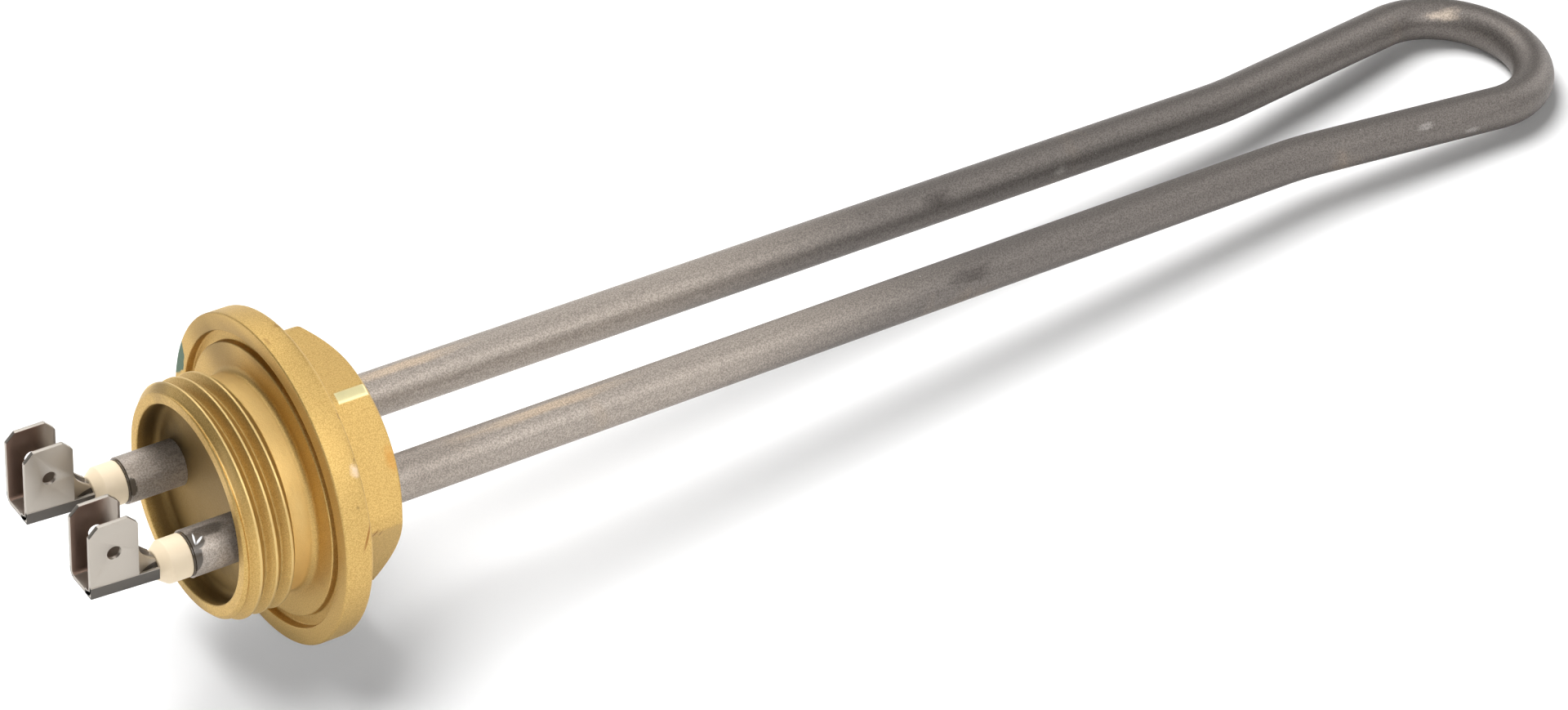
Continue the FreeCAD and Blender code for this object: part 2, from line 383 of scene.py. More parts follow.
brass = {
    "light": (0.71, 0.50, 0.19, 1), "dark": (0.54, 0.35, 0.115, 1), "roughness": 0.55,
    "grain": {"size": 0.22, "bump": 0.3, "height": 0.12},
    "clouds": {"size": 14, "amount": 0.5, "softness": 0.3, "strength": 0.22,
               "colour": (0.54, 0.35, 0.115, 1)},
    "specks": {"size": 1.6, "amount": 0.31, "softness": 0.06, "strength": 0.3,
               "colour": (0.30, 0.17, 0.06, 1)},
    "crest": {"colour": (0.74, 0.54, 0.23, 1), "gloss": 0.06},
    "paintedLeeShade": {"colour": (0.36, 0.24, 0.09, 1), "amount": 0.6},  # painted shade on each groove's flank behind its crest
    # painted light: the neck between the thread and the land is made lighter
    "neck": {"colour": (0.97, 0.71, 0.30, 1), "amount": 0.8,
             "rise": (-4.8, -4.3), "fall": (-1.4, -0.2), "top": (20.0, 20.6)},
    "cup": {"colour": (0.20, 0.13, 0.05, 1), "amounts": (0.1, 0.84),  # painted shade, partly a real brown tarnish, inside the cup; amounts at its mouth and its floor
            "run": (-14.0, -12.0), "end": -9.0, "wall": (18.1, 18.5)},
    "polishAndHighlight": {"colour": (1.0, 0.90, 0.50, 1), "gloss": 0.2,  # a worn polished land on one hexagon corner, its bright colour also a painted highlight
                 "place": (12.2, -10.25, 20.8), "half": (3.1, 1.05, 2.0), "edge": 0.25},
    "marksAndPaintedLight": (
        ((0.0, 29.0, 8.4), (0.7, 2.7, 4.6), (12, 0, 0), 0.12, 0.25, 0.9, (0.06, 0.15, 0.12, 1)),
        # the next two are painted shade on the far and top part of the flange's face ring
        ((0.3, 16.0, 19.0), (1.6, 13.0, 9.0), (0, 0, 0), 0.9, 0.2, 0.8, (0.28, 0.18, 0.06, 1)),
        ((0.3, 2.0, 25.6), (1.9, 20.0, 3.2), (0, 0, 0), 0.7, 0.2, 0.5, (0.32, 0.21, 0.08, 1)),
        # the next two are painted light, on the neck's front and on the thread's chamfered start
        ((-2.6, -18.6, 6.0), (2.2, 3.0, 9.0), (0, 0, 0), 0.9, 0.2, 0.7, (1.0, 0.78, 0.36, 1)),
        ((-13.2, -13.0, 15.0), (1.4, 8.0, 8.0), (0, 0, 0), 0.9, 0.2, 0.6, (0.95, 0.72, 0.34, 1)),
        # the next two are painted shade on the thread's chamfered start, at its bottom and its far top
        ((-13.4, -1.0, -20.0), (2.0, 14.0, 5.0), (0, 0, 0), 0.9, 0.2, 0.65, (0.26, 0.18, 0.07, 1)),
        ((-13.2, 11.0, 18.0), (2.4, 6.0, 5.0), (0, 0, 0), 0.9, 0.2, 0.65, (0.28, 0.19, 0.07, 1)),
        ((4.4, -24.9, 17.1), (1.3, 1.6, 2.0), (0, 0, 0), 0.9, 0.5, 0.6, (0.95, 0.80, 0.66, 1)),
        ((4.2, -29.6, 5.8), (0.35, 3.0, 3.2), (0, 21, 0), 0.7, 0.5, 0.85, (0.34, 0.15, 0.04, 1)),
        ((9.6, -23.1, 0.0), (0.35, 2.0, 1.4), (0, 25, 0), 0.7, 0.8, 0.8, (0.34, 0.16, 0.05, 1)),
        ((10.8, -23.1, -0.6), (0.3, 2.0, 1.1), (0, 10, 0), 0.7, 0.8, 0.6, (0.34, 0.16, 0.05, 1)),
        ((15.6, -17.6, 10.4), (1.5, 3.0, 3.4), (0, 0, 0), 0.9, 0.5, 0.5, (0.62, 0.28, 0.05, 1)),
        ((16.5, -20.6, 5.4), (0.8, 2.4, 3.4), (0, 0, 0), 0.8, 0.4, 0.55, (0.62, 0.28, 0.05, 1)),
        ((4.6, 1.8, 30.2), (0.7, 0.7, 0.8), (0, 0, 0), 0.6, 0.8, 0.6, (0.34, 0.18, 0.06, 1)),
        ((0.9, -1.4, 30.2), (0.5, 1.4, 0.8), (0, 0, 0), 0.7, 0.9, 0.45, (0.34, 0.18, 0.06, 1)),
        ((5.1, -18.3, 24.0), (0.4, 0.9, 1.2), (0, 0, 0), 0.6, 0.8, 0.6, (0.25, 0.14, 0.05, 1)),
        ((4.9, -24.0, 18.4), (0.4, 0.7, 0.7), (0, 0, 0), 0.6, 0.8, 0.6, (0.25, 0.14, 0.05, 1)),
        ((3.3, -27.9, 11.6), (0.4, 0.5, 0.6), (0, 0, 0), 0.6, 0.8, 0.55, (0.22, 0.14, 0.05, 1)),
        # the next two are painted shade in the cup, round the far tube's foot and low on its floor
        ((-9.6, 13.0, 3.0), (2.0, 8.0, 8.5), (0, 0, 0), 0.9, 0.3, 0.7, (0.07, 0.05, 0.025, 1)),
        ((-9.6, -2.0, -9.5), (3.0, 9.0, 6.5), (0, 0, 0), 0.9, 0.3, 0.6, (0.09, 0.06, 0.025, 1)),
    ),
}


def neckMask(tree, x, away):
    neck = brass["neck"]
    mask = calc(tree, "MULTIPLY", spread(tree, x, *metres(neck["rise"])),
                spread(tree, x, *metres(neck["fall"]), 1.0, 0.0))
    return calc(tree, "MULTIPLY", mask, spread(tree, away, *metres(neck["top"]), neck["amount"], 0.0))


def cupMask(tree, x, away):
    cup = brass["cup"]
    mask = calc(tree, "MULTIPLY", spread(tree, away, *metres(cup["wall"]), 1.0, 0.0),
                calc(tree, "LESS_THAN", x, cup["end"] * mm))
    return calc(tree, "MULTIPLY", mask, spread(tree, x, *metres(cup["run"]), *cup["amounts"]))


def brassFinish():
    material, tree, shader = newFinish("blastedBrass")
    colour = blend(tree, grained(tree, shader, brass["grain"]), brass["dark"], brass["light"])
    colour = clouded(tree, colour, brass["clouds"])
    crest = storedValue(tree, "crest")
    colour = blend(tree, crest, colour, brass["crest"]["colour"])
    # painted shade on the flanks behind the crests
    paintedLeeShade = calc(tree, "MULTIPLY", storedValue(tree, "paintedLeeShade"), brass["paintedLeeShade"]["amount"])
    colour = blend(tree, paintedLeeShade, colour, brass["paintedLeeShade"]["colour"])
    x, y, z = splitAxes(tree, objectPlace(tree))
    away = axisDistance(tree, y, z)
    # painted light on the neck, then painted shade with real tarnish in the cup
    colour = blend(tree, neckMask(tree, x, away), colour, brass["neck"]["colour"])
    colour = blend(tree, cupMask(tree, x, away), colour, brass["cup"]["colour"])
    colour = clouded(tree, colour, brass["specks"])
    # real marks, and painted light and shade
    colour = marked(tree, colour, brass["marksAndPaintedLight"])
    polishAndHighlight = brass["polishAndHighlight"]
    # the worn land, its bright colour partly a painted highlight
    land = boxMask(tree, polishAndHighlight["place"], polishAndHighlight["half"], polishAndHighlight["edge"])
    colour = blend(tree, land, colour, polishAndHighlight["colour"])
    rough = calc(tree, "MULTIPLY_ADD", crest, -brass["crest"]["gloss"], brass["roughness"])
    rough = calc(tree, "MULTIPLY_ADD", land, -polishAndHighlight["gloss"], rough)
    feed(tree, shader, {"Base Color": colour, "Roughness": rough, "Metallic": 1.0})
    return material


steel = {
    "warm": (0.39, 0.342, 0.298, 1),  # near the plug
    "cold": (0.19, 0.170, 0.155, 1),  # the rest of the loop
    "warmUntil": 70.0, "coldFrom": 130.0,
    "paintedShadeBelow": 5.0,  # painted shade: how much sooner it turns cold and dark below, mm along for each mm down
    "roughness": 0.5, "metallic": 0.8,
    "pores": 0.5,  # the whole range of brightness from a pore to a grain's top
    "grain": {"size": 0.3, "bump": 0.3, "height": 0.1},
    "streaks": {"along": 40.0, "scale": 6.0, "detail": 4.0, "roughness": 0.6,
                "low": 0.42, "high": 0.66, "strength": 0.1},
    "stains": {"size": 16, "amount": 0.38, "softness": 0.1, "strength": 0.4,
               "colour": (0.08, 0.07, 0.065, 1)},
    "tints": {"size": 22, "amount": 0.4, "softness": 0.15, "strength": 0.2,
              "colour": (0.56, 0.42, 0.28, 1)},
    "flecks": {"size": 0.9, "amount": 0.3, "softness": 0.03, "strength": 0.5,
               "colour": (0.62, 0.60, 0.58, 1)},
    "marksAndPaintedLight": (
        ((151, 8.4, 2.8), (5.0, 2.6, 2.2), (0, 0, 0), 0.8, 0.5, 0.6, (0.07, 0.06, 0.055, 1)),
        ((142, -14.6, 2.9), (7.0, 2.0, 2.2), (0, 0, 0), 0.8, 0.6, 0.6, (0.07, 0.06, 0.055, 1)),
        ((180, 7.6, 0.4), (2.2, 1.0, 1.4), (0, 0, 0), 0.7, 0.5, 0.3, (0.60, 0.57, 0.54, 1)),
        ((251, -18.2, 2.6), (2.6, 1.0, 1.0), (0, 0, 0), 0.7, 0.5, 0.3, (0.60, 0.57, 0.54, 1)),
        ((262, -20.3, -0.6), (2.4, 1.0, 1.0), (0, 0, 0), 0.7, 0.5, 0.3, (0.60, 0.57, 0.54, 1)),
        # painted highlight, tan, on top of the loop where its nose begins
        ((281, 10.9, 3.0), (7.0, 3.0, 1.6), (0, 0, 0), 0.8, 0.4, 0.6, (0.60, 0.50, 0.40, 1)),
        # painted shade along the far leg's lower front side
        ((190, 7.9, 0.6), (75.0, 2.2, 3.0), (0, 0, 0), 0.8, 0.3, 0.45, (0.07, 0.065, 0.06, 1)),
        # the near tube's dry end darker on top: partly a resin film, partly painted shade
        ((-17, -12.2, 4.4), (5.0, 1.7, 1.4), (0, 0, 0), 0.5, 0.3, 0.8, (0.08, 0.065, 0.05, 1)),
        # the next two are painted shade on the tubes where they go into the cup
        ((-13, 11.5, 2.0), (4.5, 5.0, 5.0), (0, 0, 0), 0.9, 0.2, 0.6, (0.06, 0.05, 0.04, 1)),
        ((-11, -11.5, 1.0), (4.5, 5.0, 5.0), (0, 0, 0), 0.9, 0.2, 0.8, (0.03, 0.025, 0.02, 1)),
        ((26, -11.5, 2.0), (22.0, 6.0, 6.0), (0, 0, 0), 0.9, 0.2, 0.5, (0.20, 0.17, 0.145, 1)),
        # the next two are painted highlights, tan, along the top of each leg near the plug
        ((50, -11.8, 4.4), (22.0, 1.6, 1.0), (0, 0, 0), 0.8, 0.5, 0.5, (0.66, 0.50, 0.34, 1)),
        ((34, 11.4, 4.4), (18.0, 1.6, 1.0), (0, 0, 0), 0.8, 0.5, 0.5, (0.66, 0.50, 0.34, 1)),
    ),
    "resin": {"colour": (0.085, 0.068, 0.052, 1), "roughness": 0.14},
    "smears": (  # of resin on the tube's open ends, as marks without amount and colour
        ((-20.0, -13.4, 3.8), (2.3, 2.1, 1.5), (0, 0, 0), 0.2, 0.15),
        ((-20.1, -15.3, 1.6), (1.0, 1.2, 3.0), (0, 10, 0), 0.25, 0.2),
        ((-20.2, 7.6, 1.2), (0.9, 1.2, 2.2), (0, 0, 0), 0.25, 0.3),
    ),
    "glints": (
        ((-19.65, -13.0, 4.0), (0.22, 1.3, 2.0), (0, 0, -15), 0.6, 0.1, 1.0, (1.0, 1.0, 1.0, 1)),
        ((-18.9, -13.5, 3.8), (1.15, 0.25, 2.0), (0, 0, 29), 0.6, 0.1, 1.0, (1.0, 1.0, 1.0, 1)),
    ),
}


# long faint streaks that run along the tube, wherever it bends
def drawnStreaks(tree):
    streaks = steel["streaks"]
    around = splitAxes(tree, storedValue(tree, "aroundTube", "Vector"))
    along = calc(tree, "MULTIPLY", storedValue(tree, "alongTube"), streaks["along"])
    flow = put(tree, "ShaderNodeCombineXYZ", {0: along, 1: around[0], 2: around[1]}).outputs[0]
    pattern = put(tree, "ShaderNodeTexNoise", {
        "Vector": flow, "Scale": streaks["scale"], "Detail": streaks["detail"],
        "Roughness": streaks["roughness"]}).outputs[0]
    pattern = spread(tree, pattern, streaks["low"], streaks["high"])
    return calc(tree, "MULTIPLY", pattern, streaks["strength"])


def smearMask(tree):
    first, *others = (spotMask(tree, *shape) for shape in steel["smears"])
    for other in others:
        first = calc(tree, "MAXIMUM", first, other)
    return first


def steelFinish():
    material, tree, shader = newFinish("sheathSteel")
    x, y, z = splitAxes(tree, objectPlace(tree))
    # warm turns cold along the loop, and sooner on the lower side as painted shade
    coldWithShadeBelow = calc(tree, "MULTIPLY_ADD", z, -steel["paintedShadeBelow"], x)
    coldWithShadeBelow = spread(tree, coldWithShadeBelow, steel["warmUntil"] * mm, steel["coldFrom"] * mm)
    colour = blend(tree, coldWithShadeBelow, steel["warm"], steel["cold"])
    colour = blend(tree, drawnStreaks(tree), colour, steel["cold"])
    colour = clouded(tree, colour, steel["stains"])
    colour = clouded(tree, colour, steel["tints"])
    # real smudges and scuffs, and painted light and shade
    colour = marked(tree, colour, steel["marksAndPaintedLight"])
    speckle = grained(tree, shader, steel["grain"])
    bright = calc(tree, "MULTIPLY_ADD", speckle, steel["pores"], 1 - steel["pores"] / 2)
    colour = put(tree, "ShaderNodeHueSaturation", {"Color": colour, "Value": bright}).outputs[0]
    colour = clouded(tree, colour, steel["flecks"])
    smear = smearMask(tree)
    colour = blend(tree, smear, colour, steel["resin"]["colour"])
    colour = marked(tree, colour, steel["glints"])
    glossier = steel["resin"]["roughness"] - steel["roughness"]
    feed(tree, shader, {
        "Base Color": colour,
        "Metallic": calc(tree, "MULTIPLY_ADD", smear, -steel["metallic"], steel["metallic"]),
        "Roughness": calc(tree, "MULTIPLY_ADD", smear, glossier, steel["roughness"])})
    return material


ceramic = {
    "colour": (0.76, 0.63, 0.45, 1), "roughness": 0.5,
    "clouds": {"size": 5, "amount": 0.5, "softness": 0.3, "strength": 0.3,
               "colour": (0.62, 0.49, 0.32, 1)},
    "grain": {"size": 0.25, "bump": 0.1, "height": 0.1},
}


def ceramicFinish():
    material, tree, shader = newFinish("bushCeramic")
    colour = clouded(tree, ceramic["colour"], ceramic["clouds"])
    grained(tree, shader, ceramic["grain"])
    feed(tree, shader, {"Base Color": colour, "Roughness": ceramic["roughness"]})
    return material


resin = {
    "colour": (0.06, 0.045, 0.03, 1), "roughness": 0.12,
    "clouds": {"size": 3, "amount": 0.5, "softness": 0.3, "strength": 1.0,
               "colour": (0.16, 0.10, 0.05, 1)},
}


def resinFinish():
    material, tree, shader = newFinish("sealResin")
    colour = clouded(tree, resin["colour"], resin["clouds"])
    feed(tree, shader, {"Base Color": colour, "Roughness": resin["roughness"]})
    return material


nickel = {
    "colour": (0.47, 0.43, 0.38, 1), "roughness": 0.45,
    "clouds": {"size": 6, "amount": 0.45, "softness": 0.3, "strength": 0.3,
               "colour": (0.34, 0.24, 0.17, 1)},
    "grain": {"size": 0.5, "bump": 0.06, "height": 0.1},
    "inside": {"colour": (0.24, 0.15, 0.11, 1),  # painted shade and painted brown reflection on the faces in the tabs' channel
               "from": 0.5, "run": (-35.0, -32.0), "amounts": (0.85, 0.15)},
    "under": {"colour": (0.12, 0.11, 0.10, 1), "webBottom": 1.1,  # painted shade on the web's underside and on its folds
              "from": 0.3, "foldTop": 3.0, "foldEdge": 0.15, "foldStart": -40.0, "foldTilt": 0.057},
}


def nickelFinish():
    material, tree, shader = newFinish("nickelPlate")
    colour = clouded(tree, nickel["colour"], nickel["clouds"])
    grained(tree, shader, nickel["grain"])
    x, y, z = splitAxes(tree, objectPlace(tree))
    normal = put(tree, "ShaderNodeNewGeometry").outputs["Normal"]
    lean = calc(tree, "MULTIPLY", splitAxes(tree, normal)[1], calc(tree, "SIGN", y))
    offLeg = calc(tree, "SUBTRACT", calc(tree, "ABSOLUTE", y), legY * mm)
    outward = calc(tree, "MULTIPLY", offLeg, lean)  # above zero on the tab's outer faces
    inside, under = nickel["inside"], nickel["under"]
    # painted shade on the faces inside the tabs' channel, strongest towards the tabs' free end
    inner = calc(tree, "MULTIPLY", calc(tree, "LESS_THAN", outward, -inside["from"] * mm),
                 spread(tree, x, *metres(inside["run"]), *inside["amounts"]))
    colour = blend(tree, inner, colour, inside["colour"])
    # painted shade on the outer faces' lower fold, and under the web
    fromEnd = calc(tree, "SUBTRACT", x, under["foldStart"] * mm)
    height = calc(tree, "MULTIPLY_ADD", fromEnd, under["foldTilt"], z)
    foldRun = metres((under["foldTop"] - under["foldEdge"], under["foldTop"]))
    fold = calc(tree, "MULTIPLY", calc(tree, "GREATER_THAN", outward, under["from"] * mm),
                spread(tree, height, *foldRun, 1.0, 0.0))
    dark = calc(tree, "MAXIMUM", fold, calc(tree, "LESS_THAN", z, under["webBottom"] * mm))
    colour = blend(tree, dark, colour, under["colour"])
    feed(tree, shader, {"Base Color": colour, "Metallic": 1.0, "Roughness": nickel["roughness"]})
    return material


brazeMetal = {
    "dark": (0.50, 0.38, 0.18, 1), "light": (0.70, 0.56, 0.32, 1), "roughness": 0.35,
    "grain": {"size": 0.5, "bump": 0.2, "height": 0.1},
}


def brazeFinish():
    material, tree, shader = newFinish("brazeFillet")
    speckle = grained(tree, shader, brazeMetal["grain"])
    colour = blend(tree, speckle, brazeMetal["dark"], brazeMetal["light"])
    feed(tree, shader, {"Base Color": colour, "Metallic": 1.0, "Roughness": brazeMetal["roughness"]})
    return material


blastedBrass = brassFinish()
sheathSteel = steelFinish()
bushCeramic = ceramicFinish()
sealResin = resinFinish()
nickelPlate = nickelFinish()
brazeFillet = brazeFinish()
print("finishes made")


# brass plug: x from the sealing face, radii from its axis

plug = {
    "threadRadius": 21.5, "pitch": 3.0, "depth": 1.5, "flank": 38.0, "crestFlat": 0.38,
    "crestRound": 0.12, "rootRound": 0.5, "grooveStart": -15.2, "grooveEnd": -2.6,
    "crestFade": 2.5,  # the crest's colour ends a crest flat divided by this below the crest
    "paintedShadePhase": 0.55, "paintedShadeDepth": 0.3,  # the painted shade's share of a pitch, and how many crest flats down it starts
    "cupRadius": 18.0, "cupDepth": 4.2, "cupFillet": 1.4, "cupLipRound": 0.3,
    "startOver": 0.05, "startRound": 0.35,  # the thread's chamfered start, past its depth
    "reliefX": -5.0, "reliefRun": 0.6, "reliefRound": 0.3,
    "neckRadius": 19.6, "neckFillet": 1.2, "landX": 0.2, "landRound": 0.25,
    "grooveInner": 24.75, "grooveOuter": 26.85, "grooveDepth": 1.6, "grooveRound": 0.3,
    "faceInnerRound": 0.2, "faceOuterRound": 0.35,
    "rim": 5.2, "rimRound": 1.2, "cone": 3.2, "coneRadius": 19.5, "coneRound": 0.8,
    "halfFlats": 20.5, "cornerRadius": 23.1, "cornerBlend": 0.15, "hexTurn": -4.0,
    "hexChamferRadius": 20.1, "hexChamferAngle": 30.0, "chamferRound": 0.35, "wetFaceRound": 0.3,
    "segments": 264, "threadSteps": 105, "startSteps": 16, "reliefSteps": 12, "arcSteps": 5,
    "smoothAngle": 40.0,
}


def softMin(a, b, width):
    h = min(1.0, max(0.0, 0.5 + 0.5 * (b - a) / width))
    return b * (1 - h) + a * h - width * h * (1 - h)


def plugProfile(angle):
    dryEnd, wetEnd = plugLow.x, plugHigh.x
    flangeRadius = min(plugHigh.z, -plugLow.y)
    offFlat = ((angle - math.radians(plug["hexTurn"])) % math.radians(60)) - math.radians(30)
    hexRadius = softMin(plug["halfFlats"] / math.cos(offFlat), plug["cornerRadius"], plug["cornerBlend"])
    coneRun = plug["cone"] / (flangeRadius - plug["coneRadius"])
    coneEnd = plug["rim"] + (flangeRadius - hexRadius) * coneRun
    chamfer = (hexRadius - plug["hexChamferRadius"]) * math.tan(math.radians(plug["hexChamferAngle"]))
    cupFloor = dryEnd + plug["cupDepth"]
    start = plug["depth"] + plug["startOver"]
    return roundedProfile([
        (cupFloor, 0),
        (cupFloor, plug["cupRadius"], plug["cupFillet"]),
        (dryEnd, plug["cupRadius"], plug["cupLipRound"]),
        (dryEnd, plug["threadRadius"] - start, plug["startRound"], plug["startSteps"]),
        (dryEnd + start, plug["threadRadius"], 0, plug["threadSteps"]),
        (plug["reliefX"], plug["threadRadius"], 0, plug["reliefSteps"]),
        (plug["reliefX"] + plug["reliefRun"], plug["neckRadius"], plug["reliefRound"]),
        (plug["landX"], plug["neckRadius"], plug["neckFillet"]),
        (plug["landX"], plug["grooveInner"], plug["landRound"]),
        (plug["grooveDepth"], plug["grooveInner"], plug["grooveRound"]),
        (plug["grooveDepth"], plug["grooveOuter"], plug["grooveRound"]),
        (0, plug["grooveOuter"], plug["faceInnerRound"]),
        (0, flangeRadius, plug["faceOuterRound"]),
        (plug["rim"], flangeRadius, plug["rimRound"]),
        (coneEnd, hexRadius, plug["coneRound"]),
        (wetEnd - chamfer, hexRadius, plug["chamferRound"]),
        (wetEnd, plug["hexChamferRadius"], plug["wetFaceRound"]),
        (wetEnd, 0),
    ], plug["arcSteps"])


def storeValue(tree, geometry, name, value, kind="FLOAT"):
    return put(tree, "GeometryNodeStoreNamedAttribute", {
        "Geometry": geometry, "Name": name, "Value": value}, data_type=kind, domain="POINT").outputs[0]


# what every tree of Geometry Nodes ends in
def endTree(tree, out, geometry, material):
    real = put(tree, "GeometryNodeRealizeInstances", {0: geometry}).outputs[0]
    painted = put(tree, "GeometryNodeSetMaterial", {"Geometry": real, "Material": material}).outputs[0]
    feed(tree, out, {0: painted})
    return tree


# a right-hand groove, pressed into whatever of the turned blank stands proud of it
def threadTree():
    tree, given, out = newGroup("cutThread", "GeometryNodeTree", (
        ("Geometry", "INPUT", "NodeSocketGeometry", None),
        ("Radius", "INPUT", "NodeSocketFloat", 0.0),
        ("Pitch", "INPUT", "NodeSocketFloat", 0.0),
        ("Depth", "INPUT", "NodeSocketFloat", 0.0),
        ("Flank", "INPUT", "NodeSocketFloat", 0.0),
        ("Crest Flat", "INPUT", "NodeSocketFloat", 0.0),
        ("Rounding", "INPUT", "NodeSocketFloat", 0.0),
        ("Root Rounding", "INPUT", "NodeSocketFloat", 0.0),
        ("Start", "INPUT", "NodeSocketFloat", 0.0),
        ("End", "INPUT", "NodeSocketFloat", 0.0),
        ("Crest Fade", "INPUT", "NodeSocketFloat", 0.0),
        ("Painted Shade Phase", "INPUT", "NodeSocketFloat", 0.0),
        ("Painted Shade Depth", "INPUT", "NodeSocketFloat", 0.0),
        ("Material", "INPUT", "NodeSocketMaterial", None),
        ("Geometry", "OUTPUT", "NodeSocketGeometry", None),
    ))
    get = given.outputs
    x, y, z = splitAxes(tree, put(tree, "GeometryNodeInputPosition").outputs[0])
    radius = axisDistance(tree, y, z)

    # how far a point lies from the middle of the groove, along the axis
    turn = calc(tree, "DIVIDE", calc(tree, "ARCTAN2", y, calc(tree, "MULTIPLY", z, -1.0)), 2 * math.pi)
    advance = calc(tree, "DIVIDE", calc(tree, "SUBTRACT", x, get["Start"]), get["Pitch"])
    phase = calc(tree, "FRACT", calc(tree, "ADD", calc(tree, "SUBTRACT", advance, turn), 0.5))
    offCentre = calc(tree, "ABSOLUTE", calc(tree, "SUBTRACT", phase, 0.5))
    offGroove = calc(tree, "MULTIPLY", offCentre, get["Pitch"])

    # how deep the groove is there, and the radius that it leaves
    halfTop = calc(tree, "MULTIPLY", calc(tree, "SUBTRACT", get["Pitch"], get["Crest Flat"]), 0.5)
    slope = calc(tree, "TANGENT", get["Flank"])
    sink = calc(tree, "DIVIDE", calc(tree, "SUBTRACT", halfTop, offGroove), slope)
    sink = calc(tree, "SMOOTH_MAX", sink, 0.0, get["Rounding"])
    sink = calc(tree, "SMOOTH_MIN", sink, get["Depth"], get["Root Rounding"])
    grooved = calc(tree, "SUBTRACT", get["Radius"], sink)
    newRadius = calc(tree, "SMOOTH_MIN", radius, grooved, calc(tree, "MULTIPLY", get["Rounding"], 0.5))
    ratio = calc(tree, "DIVIDE", newRadius, radius)
    moved = put(tree, "ShaderNodeCombineXYZ", {
        0: x, 1: calc(tree, "MULTIPLY", y, ratio), 2: calc(tree, "MULTIPLY", z, ratio)}).outputs[0]
    inside = calc(tree, "LESS_THAN", x, get["End"])

    # masks for the finish: the crest, and the flank behind it, which gets painted shade
    sunk = calc(tree, "DIVIDE", sink, get["Crest Flat"])
    fade = calc(tree, "MULTIPLY", sunk, get["Crest Fade"])
    crest = calc(tree, "SUBTRACT", 1.0, fade, clamp=True)
    proud = calc(tree, "GREATER_THAN", newRadius, calc(tree, "SUBTRACT", get["Radius"], get["Crest Flat"]))
    crest = calc(tree, "MULTIPLY", crest, calc(tree, "MULTIPLY", proud, inside))
    paintedShadeDepth = calc(tree, "MULTIPLY", get["Crest Flat"], get["Painted Shade Depth"])
    below = calc(tree, "SUBTRACT", radius, paintedShadeDepth)
    paintedLeeShade = calc(tree, "LESS_THAN", phase, get["Painted Shade Phase"])
    paintedLeeShade = calc(tree, "MULTIPLY", paintedLeeShade, calc(tree, "LESS_THAN", grooved, below))
    pastStart = calc(tree, "GREATER_THAN", x, calc(tree, "ADD", get["Start"], get["Pitch"]))
    paintedLeeShade = calc(tree, "MULTIPLY", calc(tree, "MULTIPLY", paintedLeeShade, inside), pastStart)

    geometry = get["Geometry"]
    for name, value in (("crest", crest), ("paintedLeeShade", paintedLeeShade)):
        geometry = storeValue(tree, geometry, name, value)
    cut = put(tree, "GeometryNodeSetPosition", {
        "Geometry": geometry, "Selection": inside, "Position": moved}).outputs[0]
    return endTree(tree, out, cut, get["Material"])


def makePlug():
    blank = turnedMesh("brassPlug", plugProfile, plug["segments"])
    piece = linkPiece("brassPlug", blank, blastedBrass)
    addTree(piece, threadTree(), {
        "Radius": plug["threadRadius"] * mm, "Pitch": plug["pitch"] * mm, "Depth": plug["depth"] * mm,
        "Flank": math.radians(plug["flank"]), "Crest Flat": plug["crestFlat"] * mm,
        "Rounding": plug["crestRound"] * mm, "Root Rounding": plug["rootRound"] * mm,
        "Start": plug["grooveStart"] * mm, "End": plug["grooveEnd"] * mm,
        "Crest Fade": plug["crestFade"], "Painted Shade Phase": plug["paintedShadePhase"], "Painted Shade Depth": plug["paintedShadeDepth"],
        "Material": blastedBrass,
    })
    bakeModifiers(piece)
    smoothByAngle(piece.data, plug["smoothAngle"])
    piece.visible_diffuse = False  # the floor takes no brass tint
    finishPiece(piece, "blasted_brass", "plug_body")


makePlug()


# sheath: one tube along the hairpin

tube = {
    "wall": 0.7, "noseRadius": 17.4, "flareAngle": 7.0, "flareBendRadius": 80.0,
    "legStep": 4.0, "bendSteps": 6, "noseStep": 2.0,  # mm, a count and degrees
    "sides": 64, "smoothAngle": 40.0,
}


# along the far leg, out over the flare and round the nose, then back on the near side
def hairpinPoints():
    angle, nose, bend = math.radians(tube["flareAngle"]), tube["noseRadius"], tube["flareBendRadius"]
    noseX = tubeHigh.x - tubeRadius - nose
    noseJoint = Vector((noseX - nose * math.sin(angle), nose * math.cos(angle)))
    flareY = legY + bend * (1 - math.cos(angle))
    flareX = noseJoint.x - (noseJoint.y - flareY) / math.tan(angle)
    bendX = flareX - bend * math.sin(angle)
    legSteps = int((bendX - tubeLow.x) / tube["legStep"])
    half = [Vector((tubeLow.x + (bendX - tubeLow.x) * k / legSteps, legY)) for k in range(legSteps)]
    for k in range(tube["bendSteps"] + 1):
        a = angle * k / tube["bendSteps"]
        half.append(Vector((bendX + bend * math.sin(a), legY + bend * (1 - math.cos(a)))))
    flareStart = half[-1]
    flareSteps = int((noseJoint - flareStart).length / tube["legStep"])
    half += [flareStart.lerp(noseJoint, k / flareSteps) for k in range(1, flareSteps)]
    sweep = math.pi / 2 + angle
    noseSteps = int(math.degrees(sweep) / tube["noseStep"])
    for k in range(noseSteps):
        a = sweep - sweep * k / noseSteps
        half.append(Vector((noseX + nose * math.cos(a), nose * math.sin(a))))
    tip = Vector((noseX + nose, 0))
    return half + [tip] + [Vector((p.x, -p.y)) for p in reversed(half)]


